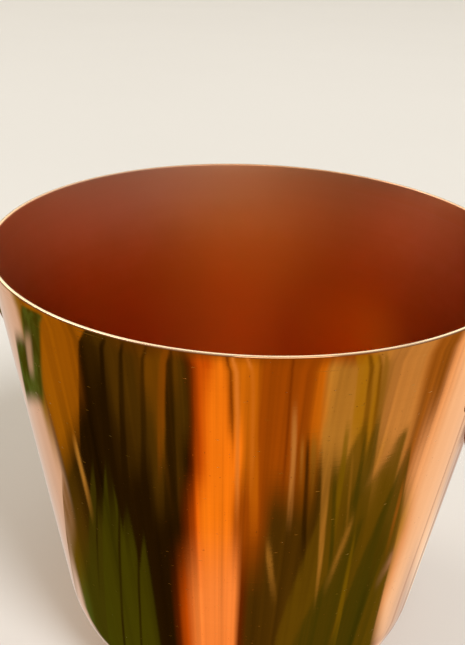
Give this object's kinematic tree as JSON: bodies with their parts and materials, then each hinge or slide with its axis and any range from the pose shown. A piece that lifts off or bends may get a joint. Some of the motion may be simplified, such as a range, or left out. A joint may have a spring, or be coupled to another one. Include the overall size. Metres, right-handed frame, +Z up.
{
  "type": "watering can",
  "caption": "Open-topped tapered copper watering can with a bent side spout, a removable turning brass rose and a looped strap handle.",
  "frame": {"origin": "middle of the flat underside of the rubber base pad, on the surface that the can stands on", "axes": "+Z up, spout and rose towards -X, handle towards +X, mirror plane at y = 0"},
  "size_m": [0.2963, 0.14, 0.1713],
  "materials": {
    "polished_copper": "mirror polished outside, satin inside",
    "copper_handle": "polished",
    "copper_rivet": "polished",
    "brass": "polished",
    "black_rubber": "matte"
  },
  "bodies": {
    "can": {"body_shell": "polished_copper", "base_pad": "black_rubber", "spout_collar": "polished_copper", "spout_tube": "polished_copper", "spout_strainer": "brass", "spout_ferrule": "brass", "handle_strap": "copper_handle", "handle_rivet_1": "copper_rivet", "handle_rivet_2": "copper_rivet", "handle_rivet_3": "copper_rivet", "handle_rivet_4": "copper_rivet", "handle_burr_1": "copper_rivet", "handle_burr_2": "copper_rivet", "handle_burr_3": "copper_rivet", "handle_burr_4": "copper_rivet"},
    "seal": {"rose_seal": "black_rubber"},
    "rose": {"rose_neck": "brass", "rose_shell": "brass", "rose_face": "brass", "rose_ring": "brass"}
  },
  "joints": [
    {"name": "rose_turn", "type": "hinge", "parent": "can", "child": "seal", "pos_m": [-0.12557, 0, 0.13212], "axis": [-0.8192, 0, 0.5736], "continuous": true},
    {"name": "rose_pull", "type": "slide", "parent": "seal", "child": "rose", "axis": [-0.8192, 0, 0.5736], "range_m": [0, 0.03]}
  ]
}
